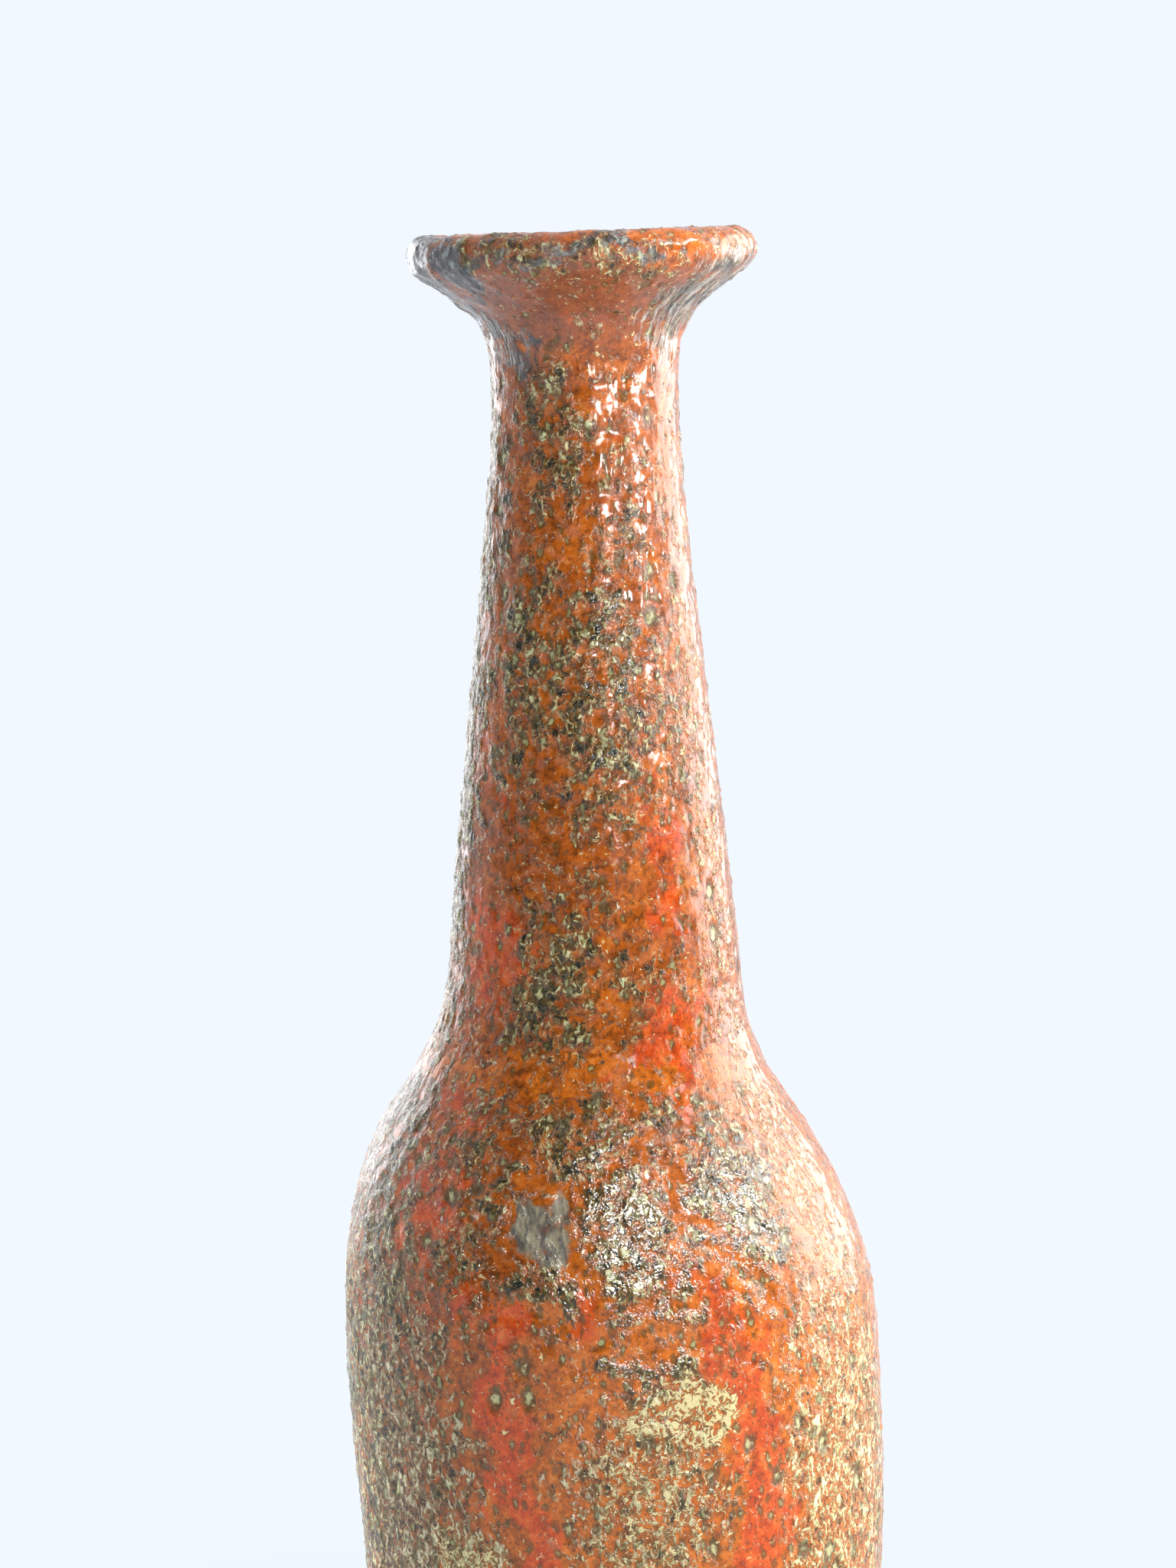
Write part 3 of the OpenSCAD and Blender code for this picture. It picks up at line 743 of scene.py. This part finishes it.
    # layers over the glass; the mauveAndShade and deepAndShade layers paint shade as well as the glaze's own
    # tone
    for amount, over in (
            (depthAndShade, deepAndShade), (covers["mauveAndShade"], colours["mauveAndShade"]), (covers["red"], run),
            (pin, colours["brown"]), (cover, flecks), (clot, crystals),
            (speck, colours["pitRim"]), (speckHeart, colours["celadon"]),
            (pit, colours["pitRim"]), (pitHeart, colours["heart"]),
            (dryEdge, colours["olive"]), (maps["dry"], colours["crust"]),
            (covers["slate"], slate), (fibre, strokes), (covers["bare"], bisque)):
        colour = addNode(tree, "ShaderNodeMix", colourMix, {0: amount, 6: colour, 7: over}, 2)
    dull = addNode(tree, "ShaderNodeMath", multiply, {0: cover, 1: 0.45})
    dull = addNode(tree, "ShaderNodeMath", largest, {0: maps["pit"], 1: dull})
    dull = addNode(tree, "ShaderNodeMath", largest, {0: covers["bare"], 1: dull})
    roughness = addNode(tree, "ShaderNodeMapRange", {}, {"Value": dull, "To Min": 0.17, "To Max": 0.36})
    # the grit is strong in the ash and the clots, faint on the melted glass
    gritty = addNode(tree, "ShaderNodeMath", largest, {0: clot, 1: cover})
    gritty = addNode(tree, "ShaderNodeMapRange", {}, {"Value": gritty, "To Min": 0.15, "To Max": 1.9})
    grit = addNode(tree, "ShaderNodeMath", multiply, {0: maps["grit"], 1: gritty})
    bump = addNode(tree, "ShaderNodeMath", multiplyAdd, {0: maps["pit"], 1: -0.5, 2: grit})
    bump = addNode(tree, "ShaderNodeBump", {}, {"Height": bump, "Strength": 0.8, "Distance": 0.35 * mm})
    surface = addNode(tree, "ShaderNodeBsdfPrincipled", {}, {
        "Base Color": colour, "Roughness": roughness, "IOR": 1.55, "Normal": bump})
    addNode(tree, "ShaderNodeOutputMaterial", {}, {"Surface": surface}, None)
    return material


# The plain finishes: colours from dark to pale, size of the mottling (mm), roughness, how deep the
# turning rings and the grain are (mm), and how strongly the grog shows.
clayFinishes = {
    "turnedEarthenware": {
        "stops": [(0.3, "#6e452f"), (0.45, "#93603f"), (0.55, "#a5704e"), (0.7, "#bf9070")], "mottle": 1.6,
        "roughness": (0.75, 0.95), "rings": 0.18, "grain": 0.12, "specks": 0.7},
    "firedSlip": {
        "stops": [(0.3, "#5c3826"), (0.5, "#7d4f38"), (0.7, "#946650")], "mottle": 0.9,
        "roughness": (0.85, 0.95), "rings": 0.05, "grain": 0.06, "specks": 0.2},
    "creamLinerGlaze": {
        "stops": [(0.3, "#8f7c5e"), (0.46, "#b2a184"), (0.56, "#c2b498"), (0.7, "#d6cab0")], "mottle": 3.5,
        "roughness": (0.25, 0.5), "rings": 0.3, "grain": 0.05, "specks": 0.35},
}
clayGrain = {"ring": 0.9, "grog": 1.7, "sand": 0.45, "grogColour": "#43281c"}  # sizes in mm


def makeClayFinish(name):
    # Bare turned clay shows the tool's rings and dark grog; slip is darker and finer; the liner is a thin
    # cream glaze, pinholed, with the throwing rings showing through it.
    finish = clayFinishes[name]
    material, tree = startMaterial(name)
    place = addNode(tree, "ShaderNodeTexCoord", out="Object")
    place = addNode(tree, "ShaderNodeVectorMath", {"operation": "SCALE"}, {0: place, "Scale": 1 / mm})
    parts = addNode(tree, "ShaderNodeSeparateXYZ", {}, {0: place}, None)
    flat = addNode(tree, "ShaderNodeVectorMath", multiply, {0: place, 1: (1, 1, 0)})
    around = addNode(tree, "ShaderNodeVectorMath", {"operation": "LENGTH"}, {0: flat}, "Value")
    turned = addNode(tree, "ShaderNodeCombineXYZ", {}, {0: around, 2: parts.outputs["Z"]})
    rings = addNode(tree, "ShaderNodeTexNoise", {}, {
        "Vector": turned, "Scale": 1 / clayGrain["ring"], "Detail": 2.0})
    mottle = addNode(tree, "ShaderNodeTexNoise", {}, {
        "Vector": place, "Scale": 1 / finish["mottle"], "Detail": 4.0, "Roughness": 0.65})
    shade = addNode(tree, "ShaderNodeMath", multiplyAdd, {0: rings, 1: 0.3, 2: mottle})
    shade = addNode(tree, "ShaderNodeMath", subtract, {0: shade, 1: 0.15})
    colour = addNode(tree, "ShaderNodeValToRGB", {}, {0: shade}, stops=finish["stops"])
    grog = addNode(tree, "ShaderNodeTexVoronoi", {}, {
        "Vector": place, "Scale": 1 / clayGrain["grog"]}, "Distance")
    grog = addNode(tree, "ShaderNodeMapRange", smoothStep, {
        "Value": grog, "From Min": 0.08, "From Max": 0.2, "To Min": finish["specks"], "To Max": 0.0})
    grogColour = toLinear(clayGrain["grogColour"])
    colour = addNode(tree, "ShaderNodeMix", colourMix, {0: grog, 6: colour, 7: grogColour}, 2)
    least, most = finish["roughness"]
    roughness = addNode(tree, "ShaderNodeMapRange", {}, {
        "Value": mottle, "From Min": 0.3, "From Max": 0.7, "To Min": least, "To Max": most})
    sand = addNode(tree, "ShaderNodeTexNoise", {}, {
        "Vector": place, "Scale": 1 / clayGrain["sand"], "Detail": 2.0})
    sand = addNode(tree, "ShaderNodeMath", multiply, {0: sand, 1: finish["grain"]})
    height = addNode(tree, "ShaderNodeMath", multiplyAdd, {0: rings, 1: finish["rings"], 2: sand})
    bump = addNode(tree, "ShaderNodeBump", {}, {"Height": height, "Strength": 1.0, "Distance": mm})
    clay = addNode(tree, "ShaderNodeBsdfPrincipled", {}, {
        "Base Color": colour, "Roughness": roughness, "Normal": bump})
    addNode(tree, "ShaderNodeOutputMaterial", {}, {"Surface": clay}, None)
    return material


finishes = {
    "coat": makeGlaze(), "fired_clay": makeClayFinish("turnedEarthenware"),
    "slip": makeClayFinish("firedSlip"), "liner": makeClayFinish("creamLinerGlaze"),
}
standsFor = {
    "bodyGlaze": ("outer_glaze", "coat"), "neckGlaze": ("outer_glaze", "coat"),
    "lipGlaze": ("outer_glaze", "coat"), "linerGlaze": ("liner_glaze", "liner"),
    "clayBody": ("body_section", "fired_clay"), "clayNeck": ("neck_section", "fired_clay"),
    "slipRing": ("slip_joint", "slip"),
}
for piece in pieces:
    node, slot = standsFor[piece.name]
    piece.data.materials.clear()
    piece.data.materials.append(finishes[slot])
    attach(piece, "root")
    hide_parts(node)
print("finishes made")

studio = {
    "background": "#f1f8ff", "floor": "#eef1f5", "floorSize": 30.0,  # m
    "ambient": (0.3, 1.15),  # how bright the room is in front of the pot and behind it
    "dimRoom": 0.1,  # how bright its front is where the glaze mirrors it
    "fadeFrom": 0.09, "fadeTo": 0.3,  # the floor turns into the background between these distances, m
}


def raySeen(tree):
    # two outputs: what the camera sees by itself, and what it sees so, mirrored or through glass
    path = addNode(tree, "ShaderNodeLightPath", out=None)
    seen = direct = path.outputs["Is Camera Ray"]
    for ray in ("Is Glossy Ray", "Is Transmission Ray"):
        seen = addNode(tree, "ShaderNodeMath", largest, {0: seen, 1: path.outputs[ray]})
    return direct, seen


def buildRoom():
    world = bpy.data.worlds.new("studio")
    bpy.context.scene.world = world
    world.use_nodes = True
    tree = world.node_tree
    tree.nodes.clear()
    direct, seen = raySeen(tree)
    # mirrored in the glaze, the room is as bright as the backdrop behind and beside the pot, dim in front
    toward = addNode(tree, "ShaderNodeTexCoord", out="Generated")
    toward = addNode(tree, "ShaderNodeSeparateXYZ", {}, {0: toward}, "Y")
    room = addNode(tree, "ShaderNodeMapRange", smoothStep, {
        "Value": toward, "From Min": -0.4, "From Max": 0.25, "To Min": studio["dimRoom"], "To Max": 1.0})
    room = addNode(tree, "ShaderNodeMath", largest, {0: room, 1: direct})
    strength = addNode(tree, "ShaderNodeMath", multiply, {0: seen, 1: room})
    front, behind = studio["ambient"]
    ambient = addNode(tree, "ShaderNodeMapRange", smoothStep, {
        "Value": toward, "From Min": -0.3, "From Max": 0.4, "To Min": front, "To Max": behind})
    strength = addNode(tree, "ShaderNodeMix", {"data_type": "FLOAT"}, {
        0: seen, 2: ambient, 3: strength}, 0)
    sky = addNode(tree, "ShaderNodeBackground", {}, {
        "Color": toLinear(studio["background"]), "Strength": strength})
    addNode(tree, "ShaderNodeOutputWorld", {}, {"Surface": sky}, None)


def layFloor():
    bpy.ops.object.select_all(action="DESELECT")
    bpy.ops.mesh.primitive_plane_add(size=studio["floorSize"])
    floor = bpy.context.object
    floor.name = "studioFloor"
    material, tree = startMaterial("paleStudioFloor")
    place = addNode(tree, "ShaderNodeTexCoord", out="Object")
    reach = addNode(tree, "ShaderNodeVectorMath", {"operation": "LENGTH"}, {0: place}, "Value")
    fade = addNode(tree, "ShaderNodeMapRange", smoothStep, {
        "Value": reach, "From Min": studio["fadeFrom"], "From Max": studio["fadeTo"]})
    seen = raySeen(tree)[1]
    amount = addNode(tree, "ShaderNodeMath", multiply, {0: fade, 1: seen})
    painted = addNode(tree, "ShaderNodeBsdfDiffuse", {}, {"Color": toLinear(studio["floor"])})
    glow = addNode(tree, "ShaderNodeEmission", {}, {
        "Color": toLinear(studio["background"]), "Strength": 1.0})
    both = addNode(tree, "ShaderNodeMixShader", {}, {0: amount, 1: painted, 2: glow})
    addNode(tree, "ShaderNodeOutputMaterial", {}, {"Surface": both}, None)
    floor.data.materials.append(material)


# Each light: azimuth to the right of the camera, elevation, distance and the height it is aimed at (m),
# width, height (m), brightness beside the backdrop's white, the angle of its grid (180 is none), colour.
windows = {
    "sideWindow": (101, 12, 1.6, 0.22, 1.1, 1.7, 1.3, 180, "#fffdf8"),
    "highWindow": (70, 46, 1.7, 0.22, 0.4, 0.4, 8, 180, "#ffffff"),
}
softFills = {  # no gloss
    "frontFill": (46, 10, 1.8, 0.2, 0.8, 1.0, 4.8, 180, "#fff8f0"),
    "sideFill": (80, 28, 1.7, 0.22, 0.12, 0.8, 25, 180, "#ffffff"),
    "lipFill": (48, 10, 0.3, 0.4, 0.06, 0.05, 360, 10, "#fff8f0"),
    "backFill": (-118, 7, 1.7, 0.15, 0.3, 0.7, 5.6, 180, "#f8fbff"),
    "lowSideFill": (108, 6, 0.9, 0.085, 0.2, 0.16, 130, 12, "#ffffff"),
    "lowBackFill": (-128, 6, 0.9, 0.085, 0.2, 0.16, 330, 12, "#f8fbff"),
}
glintCards = {  # only the gloss shows them
    "sideHaze": (119, 8, 1.6, 0.2, 1.5, 1.6, 5.1, 180, "#ffffff"),
    "backHaze": (-146, 4, 1.6, 0.16, 1.0, 1.4, 3, 180, "#f8fbff"),
    "neckCard": (24, 0, 0.3, 0.325, 0.06, 0.1, 100, 16, "#ffffff"),
    "neckSideCard": (66, 0, 0.3, 0.328, 0.07, 0.1, 110, 16, "#ffffff"),
    "shoulderCard": (20, 33, 0.25, 0.103, 0.16, 0.09, 222, 20, "#ffffff"),
    "shoulderSideCard": (78, 26, 0.25, 0.116, 0.15, 0.09, 185, 18, "#ffffff"),
    "leftCard": (-70, 24, 0.25, 0.135, 0.06, 0.05, 28, 16, "#ffffff"),
    "leftPane": (-72, 22, 1.7, 0.22, 0.08, 0.7, 1.4, 180, "#f4f8ff"),
    "lipCard": (20, 36, 0.7, 0.394, 0.05, 0.04, 150, 9, "#ffffff"),
    "lipSideCard": (80, 36, 0.35, 0.394, 0.18, 0.035, 115, 16, "#ffffff"),
}


def hangLights():
    for name, light in {**windows, **softFills, **glintCards}.items():
        azimuth, elevation, distance, aimHeight, wide, high, brightness, grid, colour = light
        turn, rise = math.radians(azimuth), math.radians(elevation)
        aim = Vector((0, 0, aimHeight))
        toward = Vector((math.sin(turn) * math.cos(rise), -math.cos(turn) * math.cos(rise), math.sin(rise)))
        place = aim + toward * distance
        bpy.ops.object.light_add(type="AREA", location=place)
        lamp = bpy.context.object
        lamp.name = name
        lamp.rotation_euler = (aim - place).to_track_quat("-Z", "Y").to_euler()
        lamp.data.shape = "RECTANGLE"
        lamp.data.size, lamp.data.size_y = wide, high
        half = math.radians(grid) / 2
        through = 1 - half / math.tan(half) if grid < 180 else 1  # the share that the grid lets through
        lamp.data.energy = brightness * math.pi * wide * high * through
        lamp.data.spread = 2 * half
        lamp.data.color = toLinear(colour)[:3]
        lamp.visible_camera = False
        lamp.visible_diffuse = name not in glintCards
        lamp.visible_glossy = name not in softFills


view = {  # the photo's camera: metres, degrees, and mm for the lens and the sensor
    "place": (0, -1.0, 0.4), "pitch": 7.61, "roll": 2.0, "lens": 95.27, "sensor": 36,
}


def setCamera():
    bpy.ops.object.camera_add()
    camera = bpy.context.object
    camera.data.lens = view["lens"]
    camera.data.sensor_fit = "VERTICAL"
    camera.data.sensor_height = view["sensor"]
    pitch = Matrix.Rotation(math.radians(90 - view["pitch"]), 4, "X")
    roll = Matrix.Rotation(math.radians(-view["roll"]), 4, "Z")
    camera.matrix_world = Matrix.Translation(view["place"]) @ (pitch @ roll)
    bpy.context.scene.camera = camera


buildRoom()
layFloor()
hangLights()
setCamera()
bpy.context.scene.view_settings.view_transform = "Standard"
print("studio ready")
